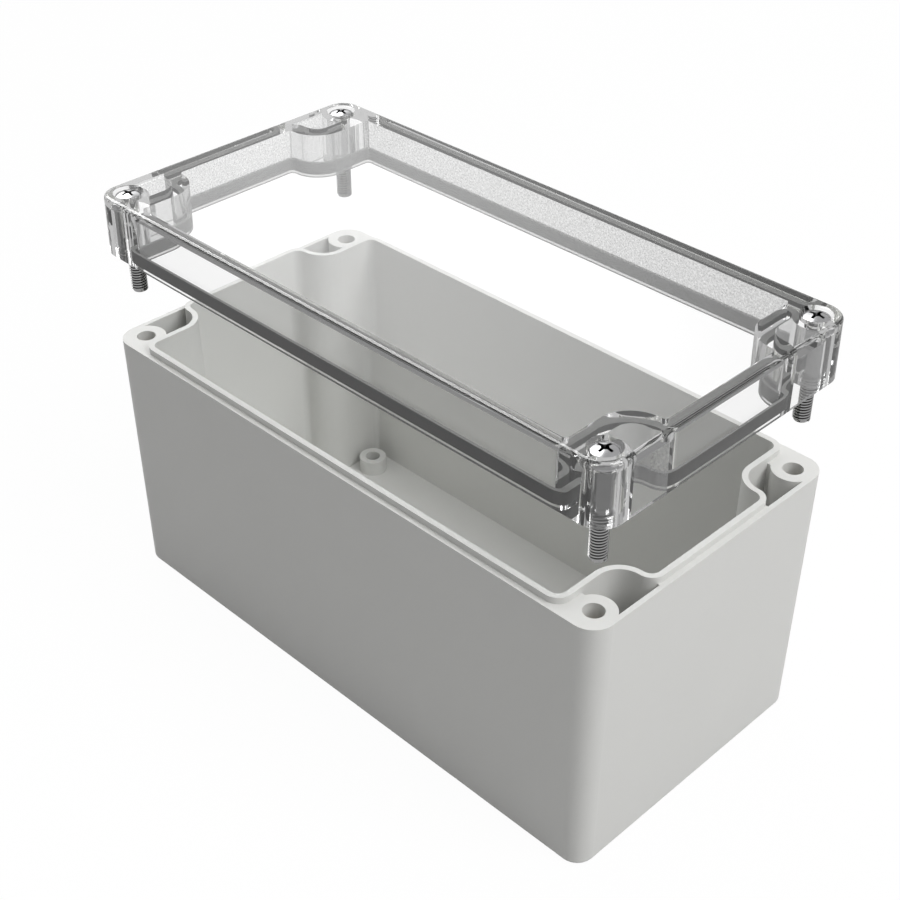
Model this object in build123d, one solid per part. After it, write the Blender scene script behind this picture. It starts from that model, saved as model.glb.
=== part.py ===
# Sealed wall-mount enclosure. A deep drafted base and a clear lid meet on one S-shaped
# sealing path that leaves the screw bosses and the mounting pockets outside the seal.
# The lid is drawn lifted straight off the base, with its gasket and its four screws in it.
# Origin: centre of the underside. X runs along the long side, Z points up.
import os
from math import radians, tan

from build123d import *

# Outside of the box at the joint between base and lid
box_length = 160.0
box_width = 80.0
base_height = 70.0
lid_height = 15.0
corner_radius = 5.5
bottom_round = 1.1
lid_edge_round = 1.0
draft = 0.7
lid_lift = 25.0

# Walls
side_wall = 2.8
floor_thickness = 2.8
lid_top = 3.2
pocket_end_wall = 1.2
lid_pocket_wall = 1.4

# Tongue on the base, groove in the lid, and the gasket at the bottom of the groove
tongue_width = 1.4
tongue_height = 1.6
groove_gap = 0.1
groove_depth = 3.7
gasket_height = 3.3
inner_leg = 1.05
outer_leg = 1.3

# Sealing path round each corner block, measured at the cavity face
block_length = 9.4
block_width = 18.15
block_round = 7.0
block_foot_round = 2.3
cavity_corner_round = 2.2

# Lid screws
screw_inset_x = 5.5
screw_inset_y = 6.0
boss_radius = 5.0
boss_bore = 4.75
thread_diameter = 4.0
thread_length = 13.0
neck_diameter = 3.5
screw_length = 23.5
tip_chamfer = 0.35
head_diameter = 6.2
head_side = 2.2
head_slope = 0.7
head_flat_diameter = 4.7
recess_width = 4.4
recess_slot = 0.9
recess_depth = 1.7
lid_bore = 4.5
counterbore_diameter = 7.3
counterbore_depth = 3.0

# Brass inserts moulded into the bosses
insert_diameter = 6.0
insert_length = 8.0
insert_depth = 4.5
insert_running_gap = 0.05

# Mounting pockets beside the bosses
pocket_tip_inset = 0.45
pocket_shoulder = 2.4
pocket_pad = 4.0
wall_hole_diameter = 4.5
wall_hole_inset_x = 6.0
wall_hole_inset_y = 15.5

# Board standoffs on the floor
standoff_inset_x = 18.5
standoff_inset_y = 10.5
standoff_diameter = 7.7
standoff_height = 4.5
standoff_hole = 4.2
standoff_hole_depth = 5.8

# Places that follow from the sizes above
half_length = box_length / 2
half_width = box_width / 2
cavity_x = half_length - side_wall
cavity_y = half_width - side_wall
screw_x = half_length - screw_inset_x
screw_y = half_width - screw_inset_y
lid_z = base_height + lid_lift
lid_end = lid_z + lid_height
seat_z = lid_end - counterbore_depth
insert_top = base_height - insert_depth
insert_bottom = insert_top - insert_length
corners = {
    "front_left": (-1, -1),
    "front_right": (1, -1),
    "back_right": (1, 1),
    "back_left": (-1, 1),
}


def box_outline(shrink):
    # The outside of the box, moved inwards by shrink.
    x = half_length - shrink
    y = half_width - shrink
    points = [(x, y), (-x, y), (-x, -y), (x, -y)]
    return make_face(FilletPolyline(*points, radius=corner_radius - shrink, close=True))


def sealing_outline(grow):
    # The closed path round cavity and corner blocks, moved outwards by grow.
    wall_x = cavity_x + grow
    wall_y = cavity_y + grow
    block_x = wall_x - block_length
    block_y = wall_y - block_width
    quarter = [
        ((wall_x, block_y), block_foot_round + grow),
        ((block_x, block_y), block_round - grow),
        ((block_x, wall_y), cavity_corner_round + grow),
    ]
    points = []
    radii = []
    for sx, sy in ((1, 1), (-1, 1), (-1, -1), (1, -1)):
        run = quarter if sx == sy else quarter[::-1]
        for (x, y), radius in run:
            points.append((sx * x, sy * y))
            radii.append(radius)
    return make_face(FilletPolyline(*points, radius=radii, close=True))


def groove_ring():
    return sealing_outline(tongue_width + groove_gap) - sealing_outline(-groove_gap)


def pocket(seal_grow, end_wall, z, depth, direction):
    # One mounting pocket, in the corner where X and Y are positive. A drafted block is cut
    # away where the sealing wall, which thickens inwards, and the screw boss stand.
    left = cavity_x - block_length
    right = half_length - end_wall
    low = cavity_y - block_width - pocket_tip_inset
    high = screw_y - pocket_shoulder
    start = Pos(0, 0, z)
    block = Pos((left + right) / 2, (low + high) / 2) * Rectangle(right - left, high - low)
    block = extrude(start * block, amount=depth, dir=(0, 0, direction), taper=draft)
    seal = extrude(start * sealing_outline(seal_grow), amount=depth, dir=(0, 0, direction), taper=-draft)
    boss = extrude(start * Pos(screw_x, screw_y) * Circle(boss_radius), amount=depth, dir=(0, 0, direction))
    return (block - seal - boss).solids().sort_by(SortBy.VOLUME)[-1]


def at_corners(solid):
    # The solid of one corner, repeated by mirroring it into the other three.
    pair = [solid, mirror(solid, Plane.YZ)]
    return pair + [mirror(one, Plane.XZ) for one in pair]


def grid(inset_x, inset_y):
    # Four places, the insets in from the sides of the box at the joint.
    return [Pos(sx * (half_length - inset_x), sy * (half_width - inset_y)) for sx, sy in corners.values()]


def rod(diameter, bottom, top):
    return Pos(0, 0, bottom) * Cylinder(diameter / 2, top - bottom,
                                        align=(Align.CENTER, Align.CENTER, Align.MIN))


def make_insert():
    bore = rod(thread_diameter + 2 * insert_running_gap, insert_bottom, insert_top)
    return rod(insert_diameter, insert_bottom, insert_top) - bore


def make_base():
    outline = Pos(0, 0, base_height) * box_outline(0)
    shell = extrude(outline, amount=base_height, dir=(0, 0, -1), taper=draft)
    shell = fillet(shell.edges().group_by(Axis.Z)[0], bottom_round)
    shell += extrude(Pos(0, 0, base_height) * sealing_outline(tongue_width), amount=tongue_height)

    mouth = Pos(0, 0, base_height) * sealing_outline(0)
    shell -= extrude(mouth, amount=tongue_height)
    shell -= extrude(mouth, amount=base_height - floor_thickness, dir=(0, 0, -1), taper=draft)

    top = floor_thickness + standoff_height
    for place in grid(standoff_inset_x, standoff_inset_y):
        shell += place * rod(standoff_diameter, floor_thickness / 2, top)
        shell -= place * rod(standoff_hole, top - standoff_hole_depth, top)

    one_pocket = pocket(tongue_width, pocket_end_wall, base_height, base_height - pocket_pad, -1)
    for solid in at_corners(one_pocket):
        shell -= solid
    for place in grid(wall_hole_inset_x, wall_hole_inset_y):
        shell -= place * rod(wall_hole_diameter, 0, pocket_pad)

    bore = rod(boss_bore, insert_top, base_height) + rod(insert_diameter, insert_bottom, insert_top)
    for place in grid(screw_inset_x, screw_inset_y):
        shell -= place * bore
    return shell


def make_lid():
    # Outside and inside are drawn at their upper ends and widen downwards.
    top = box_outline(lid_height * tan(radians(draft)))
    shell = extrude(Pos(0, 0, lid_end) * top, amount=lid_height, dir=(0, 0, -1), taper=-draft)
    shell = fillet(shell.edges().group_by(Axis.Z)[-1], lid_edge_round)

    depth = lid_height - lid_top
    ceiling = sealing_outline(-groove_gap - inner_leg - depth * tan(radians(draft)))
    shell -= extrude(Pos(0, 0, lid_z + depth) * ceiling, amount=depth, dir=(0, 0, -1), taper=-draft)
    shell -= extrude(Pos(0, 0, lid_z) * groove_ring(), amount=groove_depth)

    outer_face = tongue_width + groove_gap + outer_leg
    one_pocket = pocket(outer_face, lid_pocket_wall, lid_z, depth, 1)
    for solid in at_corners(one_pocket):
        shell -= solid

    bore = rod(lid_bore, lid_z, seat_z) + rod(counterbore_diameter, seat_z, lid_end)
    for place in grid(screw_inset_x, screw_inset_y):
        shell -= place * bore
    return shell


def make_gasket():
    # Foamed into the groove, so it fills the groove's width.
    bottom = lid_z + groove_depth - gasket_height
    return extrude(Pos(0, 0, bottom) * groove_ring(), amount=gasket_height)


def make_screw():
    # Turned profile in the XZ plane, from the tip up to the head.
    tip_z = seat_z - screw_length
    thread_r = thread_diameter / 2
    neck_r = neck_diameter / 2
    thread_end = tip_z + thread_length
    head_r = head_diameter / 2
    edge_z = seat_z + head_side
    top_z = edge_z + head_slope
    profile = Polyline(
        (0, tip_z),
        (thread_r - tip_chamfer, tip_z),
        (thread_r, tip_z + tip_chamfer),
        (thread_r, thread_end),
        (neck_r, thread_end + thread_r - neck_r),
        (neck_r, seat_z),
        (head_r, seat_z),
        (head_r, edge_z),
        (head_flat_diameter / 2, top_z),
        (0, top_z),
        close=True,
    )
    screw = revolve(make_face(Plane.XZ * profile), Axis.Z)
    slot = Rectangle(recess_width, recess_slot) + Rectangle(recess_slot, recess_width)
    return screw - extrude(Pos(0, 0, top_z) * slot, amount=recess_depth, dir=(0, 0, -1))


def write(solid, name, colour):
    solid.label = name
    solid.color = Color(*colour)
    export_step(solid, "parts/" + name + ".step")


os.makedirs("parts", exist_ok=True)
write(make_base(), "base", (0.72, 0.72, 0.70))
write(make_lid(), "lid", (0.85, 0.87, 0.88, 0.35))
write(make_gasket(), "gasket", (0.27, 0.27, 0.26))
insert = make_insert()
screw = make_screw()
for corner, (sx, sy) in corners.items():
    place = Pos(sx * screw_x, sy * screw_y)
    write(place * insert, "insert_" + corner, (0.78, 0.62, 0.32))
    write(place * screw, "screw_" + corner, (0.75, 0.75, 0.76))
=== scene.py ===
import math

import bpy
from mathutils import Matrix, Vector


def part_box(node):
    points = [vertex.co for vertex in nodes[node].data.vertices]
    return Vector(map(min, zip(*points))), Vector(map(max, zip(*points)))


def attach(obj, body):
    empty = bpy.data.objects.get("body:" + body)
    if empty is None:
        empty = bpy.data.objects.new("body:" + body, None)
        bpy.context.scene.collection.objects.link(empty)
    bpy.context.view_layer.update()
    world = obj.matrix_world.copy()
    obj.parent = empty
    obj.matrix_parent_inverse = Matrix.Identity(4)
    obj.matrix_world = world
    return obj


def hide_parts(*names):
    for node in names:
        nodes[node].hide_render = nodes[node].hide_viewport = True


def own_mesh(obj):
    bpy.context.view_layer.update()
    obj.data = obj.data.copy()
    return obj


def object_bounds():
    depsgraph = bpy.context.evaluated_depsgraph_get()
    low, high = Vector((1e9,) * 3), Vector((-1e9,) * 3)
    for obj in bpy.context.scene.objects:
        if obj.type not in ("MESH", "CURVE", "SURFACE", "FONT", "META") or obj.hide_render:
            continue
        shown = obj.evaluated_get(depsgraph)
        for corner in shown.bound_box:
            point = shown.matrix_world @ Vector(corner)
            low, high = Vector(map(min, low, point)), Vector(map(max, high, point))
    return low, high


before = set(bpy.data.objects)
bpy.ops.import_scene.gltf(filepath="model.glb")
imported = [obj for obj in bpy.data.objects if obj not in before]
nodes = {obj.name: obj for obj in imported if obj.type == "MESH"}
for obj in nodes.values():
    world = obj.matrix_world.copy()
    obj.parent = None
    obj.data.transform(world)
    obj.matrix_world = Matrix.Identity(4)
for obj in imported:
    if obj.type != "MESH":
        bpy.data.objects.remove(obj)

cadLow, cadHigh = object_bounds()
corners = ("front_left", "front_right", "back_right", "back_left")
mm = 0.001
print("frame loaded:", len(nodes), "nodes")


# Shader maths: a socket that takes part in Python arithmetic
class Value:
    def __init__(self, shade, socket):
        self.shade = shade
        self.socket = socket

    def maths(self, operation, first, second):
        return self.shade.node("Math", {"operation": operation}, {0: first, 1: second})

    def __add__(self, other):
        return self.maths("ADD", self, other)

    def __sub__(self, other):
        return self.maths("SUBTRACT", self, other)

    def __mul__(self, other):
        return self.maths("MULTIPLY", self, other)

    def __rsub__(self, other):
        return self.maths("SUBTRACT", other, self)

    def __abs__(self):
        return self.maths("ABSOLUTE", self, 0.0)

    __radd__ = __add__
    __rmul__ = __mul__

    def above(self, limit):
        return self.maths("GREATER_THAN", self, limit)

    def largest(self, other):
        return self.maths("MAXIMUM", self, other)


# One material or world, and the only way in which nodes are added to it
class Shade:
    def __init__(self, owner):
        owner.use_nodes = True
        self.tree = owner.node_tree
        self.tree.nodes.clear()

    def node(self, kind, settings=None, values=None, output=0):
        made = self.tree.nodes.new("ShaderNode" + kind)
        for name, value in (settings or {}).items():
            setattr(made, name, value)
        for name, value in (values or {}).items():
            if isinstance(value, Value):
                self.tree.links.new(value.socket, made.inputs[name])
            else:
                made.inputs[name].default_value = value
        return Value(self, made.outputs[output]) if made.outputs else None

    def place(self):
        return self.node("TexCoord", output="Object")

    def noise(self, size, detail, rough=0.5, stretch=(1.0, 1.0, 1.0)):
        at = self.node("Mapping", None, {"Vector": self.place(), "Scale": stretch})
        return self.node("TexNoise", None, {"Vector": at, "Scale": 1.0 / size,
                                            "Detail": detail, "Roughness": rough})

    def solid(self, colour):
        return (*colour, 1.0)

    def mix(self, low, high, share):
        return self.node("Mix", {"data_type": "RGBA"}, {"Factor": share, 6: low, 7: high}, output=2)

    def tint(self, low, high, share):
        return self.mix(self.solid(low), self.solid(high), share)

    def bump(self, height, depth):
        return self.node("Bump", None, {"Height": height, "Distance": depth})

    def path(self, output):
        return self.node("LightPath", output=output)

    def along(self, vector, axis):
        return self.node("SeparateXYZ", None, {"Vector": vector}, output=axis)

    def facing(self, axis):
        return self.along(self.node("NewGeometry", output="True Normal"), axis)

    def light(self, colour, strength):
        return self.node("Emission", None, {"Color": self.solid(colour), "Strength": strength})

    def choose(self, share, first, second):
        return self.node("MixShader", None, {0: share, 1: first, 2: second})

    def surface(self, shader):
        self.node("OutputMaterial", None, {"Surface": shader})


def newMaterial(name):
    material = bpy.data.materials.new(name)
    return material, Shade(material)


def dress(obj, material):
    obj.data.materials.clear()
    obj.data.materials.append(material)


# Grey moulded plastic: fine spark-eroded grain, faint clouding and dull rubbed patches
baseFinish = {
    "light": (0.735, 0.735, 0.715),
    "dark": (0.69, 0.69, 0.672),
    "cloudSize": 0.03,
    "cloudShare": 0.6,
    "grainSize": 0.00022,
    "grainShare": 0.4,
    "grainDepth": 0.000012,
    "rubbedSize": 0.0075,
    "rubbedStretch": (1.0, 1.0, 0.4),
    "roughLow": 0.38,
    "roughHigh": 0.52,
    "ior": 1.5,
}


def makeBasePlastic():
    material, shade = newMaterial("basePlastic")
    f = baseFinish
    cloud = shade.noise(f["cloudSize"], detail=3.0)
    grain = shade.noise(f["grainSize"], detail=2.0)
    rubbed = shade.noise(f["rubbedSize"], detail=4.0, stretch=f["rubbedStretch"])
    shift = cloud * f["cloudShare"] + grain * f["grainShare"]
    rough = rubbed * (f["roughHigh"] - f["roughLow"]) + f["roughLow"]
    shade.surface(shade.node("BsdfPrincipled", None, {
        "Base Color": shade.tint(f["dark"], f["light"], shift),
        "Roughness": rough, "IOR": f["ior"],
        "Normal": shade.bump(grain, f["grainDepth"])}))
    return material


# Clear polycarbonate. Shadow rays and light on its way to dull surfaces go straight through. Rays
# that wander in it for longer than deepest end in a painted glow, an emission that stands in for the
# light a real lid gathers inside from every side: bright for steep ones, dark for flat ones, which
# run further from face to face. The upright walls look hazy where they are seen through the top. The
# outer ones have a fine sparkle there, but not round the screws.
lidFinish = {
    "colour": (0.99, 0.99, 0.99),
    "passing": (0.93, 0.935, 0.935),
    "deepest": 5.5,  # bounces
    "steepGlow": (0.50, 0.50, 0.50),
    "flatGlow": (0.20, 0.20, 0.20),
    "glowStrength": 1.0,
    "flatLength": 0.0065,
    "ior": 1.585,
    "roughLow": 0.0,
    "roughHigh": 0.03,
    "smearSize": 0.012,
    "waveSize": 0.009,
    "waveDepth": 0.000002,
    "hazeShare": 0.41,
    "hazeColour": (0.40, 0.40, 0.40),
    "uprightLimit": 0.1,  # of the square of the normal's Z
    "sparkle": 0.85,
    "sparkleSize": 0.0005,
    "sparkleFrom": 0.0038,
    "wallDepth": 0.0047,
    "postRadius": 0.0055,
}


def makeLidPlastic():
    material, shade = newMaterial("lidPlastic")
    f = lidFinish
    smear = shade.noise(f["smearSize"], detail=5.0, rough=0.6)
    wave = shade.noise(f["waveSize"], detail=1.0)
    rough = smear * (f["roughHigh"] - f["roughLow"]) + f["roughLow"]
    clear = shade.node("BsdfPrincipled", None, {
        "Base Color": shade.solid(f["colour"]), "Roughness": rough, "IOR": f["ior"],
        "Transmission Weight": 1.0, "Normal": shade.bump(wave, f["waveDepth"])})

    crossed = shade.path("Transmission Depth")
    throughTop = crossed.above(1.5) - crossed.above(2.5)  # exactly two faces passed
    tilt = shade.facing("Z")
    upright = 1.0 - (tilt * tilt).above(f["uprightLimit"])
    x, y, z = (shade.along(shade.place(), axis) for axis in "XYZ")
    low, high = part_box("lid")
    outerX = abs(x).above(high.x - f["wallDepth"])
    outerY = abs(y).above(high.y - f["wallDepth"])
    screwLow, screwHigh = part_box("screw_back_right")
    besideX = abs(x) - (screwLow.x + screwHigh.x) / 2
    besideY = abs(y) - (screwLow.y + screwHigh.y) / 2
    clearOfPost = (besideX * besideX + besideY * besideY).above(f["postRadius"] ** 2)
    sparkling = outerX.largest(outerY) * clearOfPost * z.above(low.z + f["sparkleFrom"])
    grain = shade.noise(f["sparkleSize"], detail=1.0)
    share = (grain - 0.5) * sparkling * f["sparkle"] + f["hazeShare"]
    haze = shade.node("BsdfDiffuse", None, {"Color": shade.solid(f["hazeColour"])})
    walls = shade.choose(throughTop * upright * share, clear, haze)

    # painted glow: deep rays end in emission instead of finding light
    flat = shade.path("Ray Length").above(f["flatLength"])
    glow = shade.choose(flat, shade.light(f["steepGlow"], f["glowStrength"]),
                        shade.light(f["flatGlow"], f["glowStrength"]))
    inside = shade.choose(shade.path("Ray Depth").above(f["deepest"]), walls, glow)
    straight = shade.node("BsdfTransparent", None, {"Color": shade.solid(f["passing"])})
    plainRay = shade.path("Is Shadow Ray").largest(shade.path("Is Diffuse Ray"))
    shade.surface(shade.choose(plainRay, inside, straight))
    return material


# Foamed seal: dull dark grey with tiny cells. Its top face is painted paler, a painted highlight for
# the bright line seen along the lid's edge.
gasketFinish = {
    "light": (0.055, 0.055, 0.0535),
    "dark": (0.036, 0.036, 0.035),
    "paintedTopHighlight": (0.15, 0.15, 0.146),
    "paintedTopFacing": 0.5,  # the painted highlight is where the normal's Z is above this
    "cellSize": 0.0004,
    "cellDepth": 0.00004,
    "cloudSize": 0.0048,
    "rough": 0.75,
    "roughSpread": 0.15,
    "ior": 1.45,
}


def makeGasketFoam():
    material, shade = newMaterial("gasketFoam")
    f = gasketFinish
    cells = shade.node("TexVoronoi", None, {"Vector": shade.place(), "Scale": 1.0 / f["cellSize"]})
    cloud = shade.noise(f["cloudSize"], detail=3.0)
    # painted highlight: the top face gets a paler colour
    top = shade.facing("Z").above(f["paintedTopFacing"])
    foam = shade.tint(f["dark"], f["light"], cloud)
    shade.surface(shade.node("BsdfPrincipled", None, {
        "Base Color": shade.mix(foam, shade.solid(f["paintedTopHighlight"]), top),
        "Roughness": cloud * f["roughSpread"] + f["rough"], "IOR": f["ior"],
        "Normal": shade.bump(cells, f["cellDepth"])}))
    return material


# Sizes of the lid screws in mm. Where a screw stands comes from the box of its CAD node.
screwSizes = {
    "sides": 48,
    "headRadius": 3.1,
    "headHeight": 2.9,
    "rimInset": 0.08,
    "rimDrop": 0.12,
    "domeHeight": 0.72,
    "domeSteps": 8,
    "neckRadius": 1.75,
    "neckSlope": 0.25,
    "headOverlap": 0.1,
    "rootRadius": 1.68,
    "endRadius": 1.62,
    "endSlope": 0.1,
    "recessSpan": 4.4,
    "recessWidth": 0.8,
    "recessDepth": 1.9,
    "recessTaper": 0.62,
    "recessAbove": 1.0,
    "coneSides": 24,
    "coneLow": 0.35,
    "coneHigh": 0.95,
    "coneLength": 2.6,
    "coneDrop": 0.8,
    "weldReach": 0.002,
    "smoothAngle": 35,
}

# The helical thread, in mm. Foot and tip are half widths, as shares of the pitch.
threadSizes = {
    "pitch": 0.7,
    "length": 13.0,
    "crestRadius": 2.0,
    "sunk": 0.12,
    "foot": 0.46,
    "tip": 0.24,
    "firstRise": 0.05,
    "lastRise": 0.2,
    "stepsPerTurn": 32,
}


# Plated steel: lighter heads, darker shanks and fine turning marks. Shade is painted into the colour
# by ambient occlusion: the cross recess is painted near black and the thread roots dark.
screwFinish = {
    "light": (0.66, 0.66, 0.67),
    "dark": (0.56, 0.56, 0.57),
    # painted shade: the near-black colour of the cross recess
    "paintedRecessShade": (0.01, 0.01, 0.01),
    "shank": (0.40, 0.40, 0.40),
    # painted shade: the dark colour of the thread roots
    "groove": (0.10, 0.10, 0.10),
    "paintedShadeReach": 0.0013,
    "markSize": 0.00012,
    "markStretch": (0.2, 0.2, 1.0),
    "markDepth": 0.0000015,
    "patchSize": 0.0016,
    "roughLow": 0.12,
    "roughHigh": 0.26,
}


def makeScrewSteel():
    material, shade = newMaterial("screwSteel")
    f = screwFinish
    marks = shade.noise(f["markSize"], detail=2.0, stretch=f["markStretch"])
    patches = shade.noise(f["patchSize"], detail=3.0)
    # ambient occlusion sets where the painted shade falls in the recess and the thread
    openness = shade.node("AmbientOcclusion", {"only_local": True, "samples": 8},
                          {"Distance": f["paintedShadeReach"]}, output="AO")
    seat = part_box("screw_front_right")[1].z - screwSizes["headHeight"] * mm
    head = shade.mix(shade.solid(f["paintedRecessShade"]), shade.tint(f["dark"], f["light"], patches),
                     openness * openness * openness)
    shank = shade.tint(f["groove"], f["shank"], openness)
    rough = patches * (f["roughHigh"] - f["roughLow"]) + f["roughLow"]
    shade.surface(shade.node("BsdfPrincipled", None, {
        "Base Color": shade.mix(shank, head, shade.along(shade.place(), "Z").above(seat)),
        "Metallic": 1.0, "Roughness": rough, "Normal": shade.bump(marks, f["markDepth"])}))
    return material


# Turned brass of the inserts, a little dull
insertFinish = {
    "light": (0.72, 0.52, 0.22),
    "dark": (0.50, 0.34, 0.13),
    "tarnishSize": 0.002,
    "ringSize": 0.0002,
    "ringStretch": (0.15, 0.15, 1.0),
    "ringDepth": 0.000003,
    "rough": 0.28,
    "roughSpread": 0.15,
}


def makeInsertBrass():
    material, shade = newMaterial("insertBrass")
    f = insertFinish
    rings = shade.noise(f["ringSize"], detail=2.0, stretch=f["ringStretch"])
    tarnish = shade.noise(f["tarnishSize"], detail=4.0)
    shade.surface(shade.node("BsdfPrincipled", None, {
        "Base Color": shade.tint(f["dark"], f["light"], tarnish),
        "Metallic": 1.0, "Roughness": tarnish * f["roughSpread"] + f["rough"],
        "Normal": shade.bump(rings, f["ringDepth"])}))
    return material


basePlastic = makeBasePlastic()
lidPlastic = makeLidPlastic()
gasketFoam = makeGasketFoam()
screwSteel = makeScrewSteel()
insertBrass = makeInsertBrass()

dress(nodes["base"], basePlastic)
dress(nodes["lid"], lidPlastic)
for corner in corners:
    dress(nodes["insert_" + corner], insertBrass)
print("materials made and put on the moulded parts")


# Modelling helpers
def deselect():
    if bpy.context.object and bpy.context.object.mode == "EDIT":
        bpy.ops.object.mode_set(mode="OBJECT")
    bpy.ops.object.select_all(action="DESELECT")


def activate(obj):
    deselect()
    obj.select_set(True)
    bpy.context.view_layer.objects.active = obj


def pick(obj, test):
    # leaves edit mode with only the vertices that pass the test selected
    bpy.ops.object.mode_set(mode="EDIT")
    bpy.ops.mesh.select_mode(type="VERT")
    bpy.ops.mesh.select_all(action="DESELECT")
    bpy.ops.object.mode_set(mode="OBJECT")
    for vertex in obj.data.vertices:
        vertex.select = test(vertex.co)
    bpy.ops.object.mode_set(mode="EDIT")


def turned(name, profile, sides, centre):
    # A lathe-like solid: a circle extruded and resized through (radius, height) steps
    radius, height = profile[0]
    deselect()
    bpy.ops.mesh.primitive_circle_add(vertices=sides, radius=radius, fill_type="NGON",
                                      location=(centre[0], centre[1], height))
    obj = bpy.context.object
    obj.name = name
    bpy.ops.object.mode_set(mode="EDIT")
    bpy.ops.mesh.select_all(action="SELECT")
    for nextRadius, nextHeight in profile[1:]:
        bpy.ops.mesh.extrude_region_move(
            TRANSFORM_OT_translate={"value": (0, 0, nextHeight - height)})
        bpy.ops.transform.resize(value=(nextRadius / radius, nextRadius / radius, 1.0),
                                 center_override=(centre[0], centre[1], nextHeight))
        radius, height = nextRadius, nextHeight
    bpy.ops.mesh.select_all(action="SELECT")
    bpy.ops.mesh.normals_make_consistent(inside=False)
    bpy.ops.object.mode_set(mode="OBJECT")
    return obj


def cutAway(obj, cutter):
    activate(obj)
    cut = obj.modifiers.new("cut", "BOOLEAN")
    cut.operation = "DIFFERENCE"
    cut.solver = "EXACT"
    cut.object = cutter
    bpy.ops.object.modifier_apply(modifier=cut.name)
    bpy.data.objects.remove(cutter)


def weld(obj, reach):
    # merges the vertices in one place that cutting leaves behind
    activate(obj)
    bpy.ops.object.mode_set(mode="EDIT")
    bpy.ops.mesh.select_all(action="SELECT")
    bpy.ops.mesh.remove_doubles(threshold=reach)
    bpy.ops.object.mode_set(mode="OBJECT")


def joined(first, *others):
    activate(first)
    for other in others:
        other.select_set(True)
    bpy.ops.object.join()
    return bpy.context.object


def settle(obj, smoothAngle):
    # place goes into the mesh, the object back to the origin
    activate(obj)
    bpy.ops.object.transform_apply(location=True, rotation=True, scale=True)
    bpy.ops.object.shade_smooth_by_angle(angle=math.radians(smoothAngle))


# Screws
def makeRidge(x, y, low, high):
    # The helical ridge: a trapezoid swept up the rod by the Screw modifier
    s = threadSizes
    pitch = s["pitch"] * mm
    inner = (screwSizes["rootRadius"] - s["sunk"]) * mm
    outer = s["crestRadius"] * mm
    middle = (inner + outer) / 2
    deselect()
    bpy.ops.mesh.primitive_plane_add(size=1.0, location=(middle, 0, 0),
                                     rotation=(math.radians(90), 0, 0))
    ridge = bpy.context.object
    ridge.scale = (outer - inner, 2 * s["foot"] * pitch, 1.0)
    bpy.ops.object.transform_apply(location=True, rotation=True, scale=True)
    pick(ridge, lambda co: co.x > middle)
    bpy.ops.transform.resize(value=(1.0, 1.0, s["tip"] / s["foot"]), center_override=(outer, 0, 0))
    bpy.ops.mesh.select_mode(type="FACE")
    bpy.ops.mesh.select_all(action="SELECT")
    bpy.ops.mesh.delete(type="ONLY_FACE")
    bpy.ops.object.mode_set(mode="OBJECT")
    turns = (high - low) / pitch - 1.0
    sweep = ridge.modifiers.new("sweep", "SCREW")
    sweep.axis = "Z"
    sweep.angle = math.tau * turns
    sweep.screw_offset = pitch * turns
    sweep.iterations = 1
    sweep.steps = round(s["stepsPerTurn"] * turns)
    sweep.render_steps = sweep.steps
    bpy.ops.object.modifier_apply(modifier=sweep.name)
    bpy.ops.object.mode_set(mode="EDIT")
    bpy.ops.mesh.select_all(action="SELECT")
    bpy.ops.mesh.fill_holes(sides=4)
    bpy.ops.mesh.select_all(action="SELECT")
    bpy.ops.mesh.normals_make_consistent(inside=False)
    bpy.ops.object.mode_set(mode="OBJECT")
    ridge.location = (x, y, low + pitch / 2)
    return ridge


def makeRecessArm(x, y, top, turn):
    # One bar of the cross, narrower at its foot and standing out above the head
    s = screwSizes
    depth, above = s["recessDepth"] * mm, s["recessAbove"] * mm
    deselect()
    bpy.ops.mesh.primitive_cube_add(size=1.0, location=(x, y, top + (above - depth) / 2),
                                    rotation=(0, 0, turn))
    arm = bpy.context.object
    arm.scale = (s["recessSpan"] * mm, s["recessWidth"] * mm, depth + above)
    bpy.ops.object.transform_apply(location=True, rotation=True, scale=True)
    pick(arm, lambda co: co.z < top - depth / 2)
    bpy.ops.transform.resize(value=(s["recessTaper"], s["recessTaper"], 1.0),
                             center_override=(x, y, top - depth))
    bpy.ops.object.mode_set(mode="OBJECT")
    return arm


def makeHead(x, y, seat, top):
    # A low dome on a straight rim, with the cross and a cone in its middle cut away
    s = screwSizes
    edge = top - s["domeHeight"] * mm
    rim = s["headRadius"] - s["rimInset"]
    outline = [(s["neckRadius"] * mm, seat), (s["headRadius"] * mm, seat),
               (s["headRadius"] * mm, edge - s["rimDrop"] * mm), (rim * mm, edge)]
    ballRadius = (rim ** 2 + s["domeHeight"] ** 2) / (2 * s["domeHeight"])
    for step in range(1, s["domeSteps"]):
        radius = rim * (1 - step / s["domeSteps"])
        sag = ballRadius - math.sqrt(ballRadius ** 2 - radius ** 2)
        outline.append((radius * mm, top - sag * mm))
    head = turned("screwHead", outline, s["sides"], (x, y))
    for turn in (0.0, math.radians(90)):
        cutAway(head, makeRecessArm(x, y, top, turn))
    deselect()
    bpy.ops.mesh.primitive_cone_add(vertices=s["coneSides"], radius1=s["coneLow"] * mm,
                                    radius2=s["coneHigh"] * mm, depth=s["coneLength"] * mm,
                                    location=(x, y, top - s["coneDrop"] * mm))
    cutAway(head, bpy.context.object)
    weld(head, s["weldReach"] * mm)
    return head


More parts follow.
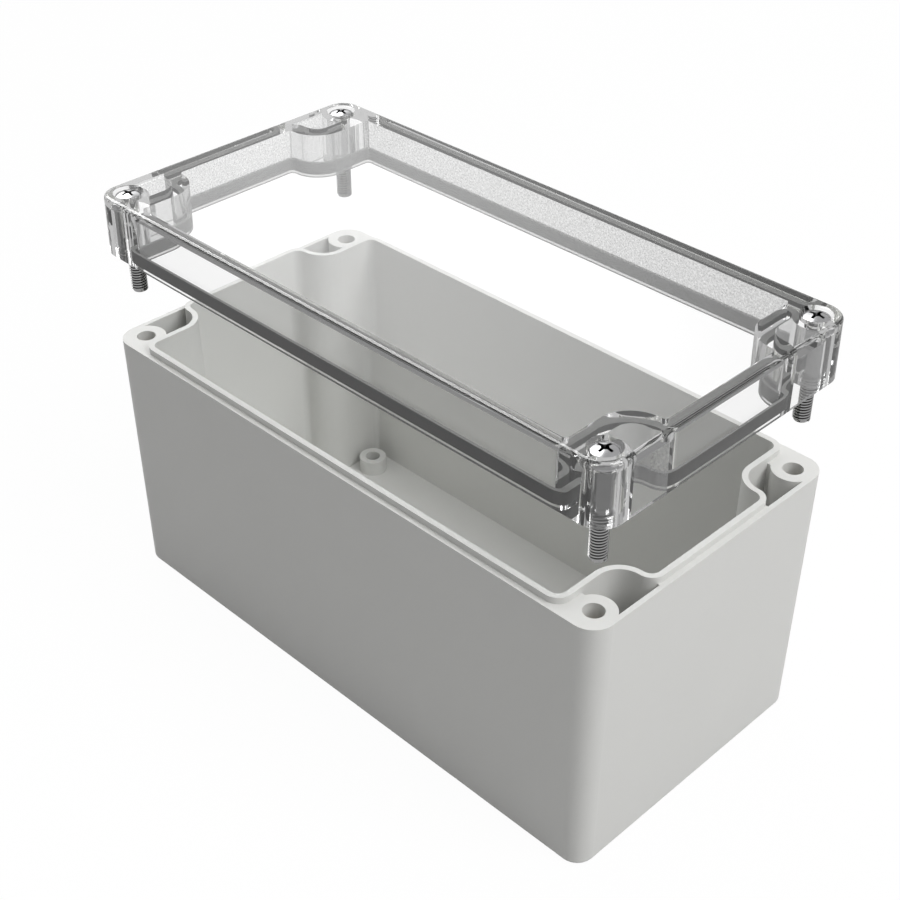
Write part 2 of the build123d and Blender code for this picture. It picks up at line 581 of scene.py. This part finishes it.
def makeScrew(corner):
    s, thread = screwSizes, threadSizes
    low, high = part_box("screw_" + corner)
    x, y = (low.x + high.x) / 2, (low.y + high.y) / 2
    tip, top = low.z, high.z
    seat = top - s["headHeight"] * mm
    head = makeHead(x, y, seat, top)
    threadTop = tip + thread["length"] * mm
    root, neck = s["rootRadius"] * mm, s["neckRadius"] * mm
    outline = [(s["endRadius"] * mm, tip), (root, tip + s["endSlope"] * mm), (root, threadTop),
               (neck, threadTop + s["neckSlope"] * mm), (neck, seat + s["headOverlap"] * mm)]
    rod = turned("screwRod", outline, s["sides"], (x, y))
    ridge = makeRidge(x, y, tip + thread["firstRise"] * mm, threadTop + thread["lastRise"] * mm)
    screw = joined(head, rod, ridge)
    screw.name = "lidScrew_" + corner
    settle(screw, s["smoothAngle"])
    dress(screw, screwSteel)
    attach(screw, "screw_" + corner)
    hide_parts("screw_" + corner)


for corner in corners:
    makeScrew(corner)
print("screws made")


# Gasket, from its node, sizes in mm. It sits a hair deep in the groove's walls, as a foamed seal that
# wets the plastic, so no film of air mirrors in front of it. Its lower side has shrunk back a little
# in curing.
gasketSizes = {
    "bond": 0.015,
    "shrunk": 0.15,
    "footReach": 0.1,
    "closedShare": 0.65,
    "weldReach": 0.001,
    "flatAngle": 1,
    "smoothAngle": 40,
}


def makeGasket():
    s = gasketSizes
    source = nodes["gasket"]
    low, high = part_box("gasket")
    seal = source.copy()
    seal.data = source.data.copy()
    seal.parent = None
    for key in list(seal.keys()):
        del seal[key]
    bpy.context.scene.collection.objects.link(seal)
    seal.name = "foamGasket"
    activate(seal)
    bpy.ops.object.mode_set(mode="EDIT")
    bpy.ops.mesh.select_all(action="SELECT")
    bpy.ops.mesh.remove_doubles(threshold=s["weldReach"] * mm)
    bpy.ops.mesh.dissolve_limited(angle_limit=math.radians(s["flatAngle"]))
    bpy.ops.mesh.select_all(action="SELECT")
    bpy.ops.transform.shrink_fatten(value=s["bond"] * mm, use_even_offset=True)
    pick(seal, lambda co: co.z < low.z + s["footReach"] * mm)
    bpy.ops.transform.translate(value=(0, 0, s["shrunk"] * mm))
    bpy.ops.object.mode_set(mode="OBJECT")
    settle(seal, s["smoothAngle"])
    dress(seal, gasketFoam)
    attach(seal, "lid")
    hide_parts("gasket")
    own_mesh(seal)


makeGasket()
print("gasket made")


# Floor, world, lamps and camera. What is seen straight on, or straight through the lid, is white. It
# is greyer where it is mirrored, and more so inside the lid. The small part of the floor that stays
# lit keeps the shadow. The rest of the light comes from a plain studio that is brighter on one side,
# round glowDirection. Edge and core are the cosines where that glow starts and is full.
stageLook = {
    "white": (1.0, 1.0, 1.0),
    "floorSize": 8.0,
    "floorDrop": 0.00005,
    "floorColour": (0.50, 0.50, 0.50),
    "floorShown": 0.93,
    "floorWhite": 1.035,
    "floorMirrored": 0.72,
    "floorInside": 0.45,
    "worldMirrored": 0.36,
    "ambient": 0.25,
    "glow": 1.3,
    "glowDirection": (-0.84, 0.30, 0.45),
    "glowEdge": 0.75,
    "glowCore": 0.93,
}


def shownShare(shade):
    seen = shade.path("Is Camera Ray").largest(shade.path("Is Transmission Ray"))
    dull = shade.path("Diffuse Depth").above(0.5)
    return seen.largest(shade.path("Is Glossy Ray")) * (1.0 - dull)


def makeFloor():
    s = stageLook
    deselect()
    bpy.ops.mesh.primitive_plane_add(size=s["floorSize"], location=(0, 0, -s["floorDrop"]))
    floor = bpy.context.object
    floor.name = "floor"
    bpy.ops.object.transform_apply(location=True)
    material, shade = newMaterial("floorPaper")
    lit = shade.node("BsdfDiffuse", None, {"Color": shade.solid(s["floorColour"])})
    direct, outside, inside = (shade.light(s["white"], s["floorWhite"] * level)
                               for level in (1.0, s["floorMirrored"], s["floorInside"]))
    mirrored = shade.choose(shade.path("Transmission Depth").above(0.5), outside, inside)
    plain = shade.choose(shade.path("Glossy Depth").above(0.5), direct, mirrored)
    shade.surface(shade.choose(shownShare(shade) * s["floorShown"], lit, plain))
    dress(floor, material)


# A softbox that only mirrors see. It draws the bright line along the lid's rounded front edge. Angles
# are in degrees from its middle: full strength up to core, none from edge on.
softbox = {
    "direction": (-0.68, 0.08, 0.73),
    "core": 18.0,
    "edge": 28.0,
    "strength": 17.0,
}


def patch(shade, ray, direction, edge, core):
    # 1 where the ray runs along the direction, 0 beyond the edge; both limits are cosines
    along = shade.node("VectorMath", {"operation": "DOT_PRODUCT"}, {0: ray, 1: direction},
                       output="Value")
    return shade.node("MapRange", {"interpolation_type": "SMOOTHSTEP"},
                      {"Value": along, "From Min": edge, "From Max": core})


def makeWorld():
    world = bpy.data.worlds.new("studio")
    bpy.context.scene.world = world
    shade = Shade(world)
    s = stageLook
    white = shade.solid(s["white"])
    ray = shade.node("TexCoord", output="Generated")
    level = patch(shade, ray, s["glowDirection"], s["glowEdge"], s["glowCore"]) * s["glow"]
    soft = shade.node("Background", None, {"Color": white, "Strength": level + s["ambient"]})
    edge, core = (math.cos(math.radians(softbox[name])) for name in ("edge", "core"))
    box = patch(shade, ray, softbox["direction"], edge, core) * shade.path("Is Glossy Ray")
    shine = box * softbox["strength"] + 1.0
    plain = shade.node("Background", None, {"Color": white, "Strength": shine})
    mirrored = shade.path("Glossy Depth").above(0.5)
    share = shownShare(shade) * (1.0 - mirrored * (1.0 - s["worldMirrored"]))
    shade.node("OutputWorld", None, {"Surface": shade.choose(share, soft, plain)})


# Lamps, in metres and watts. Only a mirrored one is seen in shiny surfaces.
lamps = {
    "rightKey": {"place": (1.15, 0.25, 1.2), "size": 1.0, "power": 17.3, "mirrored": True},
    "topFill": {"place": (0.0, 0.1, 1.5), "size": 1.2, "power": 6.5, "mirrored": False},
}


def makeLamps():
    middle = (cadLow + cadHigh) / 2
    for name, lamp in lamps.items():
        data = bpy.data.lights.new(name, "AREA")
        data.size = lamp["size"]
        data.energy = lamp["power"]
        obj = bpy.data.objects.new(name, data)
        bpy.context.scene.collection.objects.link(obj)
        obj.visible_glossy = lamp["mirrored"]
        obj.location = lamp["place"]
        obj.rotation_mode = "QUATERNION"
        obj.rotation_quaternion = (middle - Vector(lamp["place"])).to_track_quat("-Z", "Y")


# Camera: its place, and where it looks from, in degrees round and above the part
view = {
    "place": (0.22378, -0.22371, 0.27860),
    "azimuth": 45.0,
    "elevation": 35.264,
    "lens": 63.63,
    "sensorWidth": 36.0,
    "nearest": 0.01,
}


def makeCamera():
    data = bpy.data.cameras.new("camera")
    data.lens = view["lens"]
    data.sensor_width = view["sensorWidth"]
    data.clip_start = view["nearest"]
    camera = bpy.data.objects.new("camera", data)
    bpy.context.scene.collection.objects.link(camera)
    around, up = math.radians(view["azimuth"]), math.radians(view["elevation"])
    back = Vector((math.sin(around) * math.cos(up), -math.cos(around) * math.cos(up), math.sin(up)))
    camera.location = view["place"]
    camera.rotation_mode = "QUATERNION"
    camera.rotation_quaternion = (-back).to_track_quat("-Z", "Y")
    bpy.context.scene.camera = camera


makeFloor()
makeWorld()
makeLamps()
makeCamera()
bpy.context.scene.view_settings.view_transform = "Standard"
print("stage made")
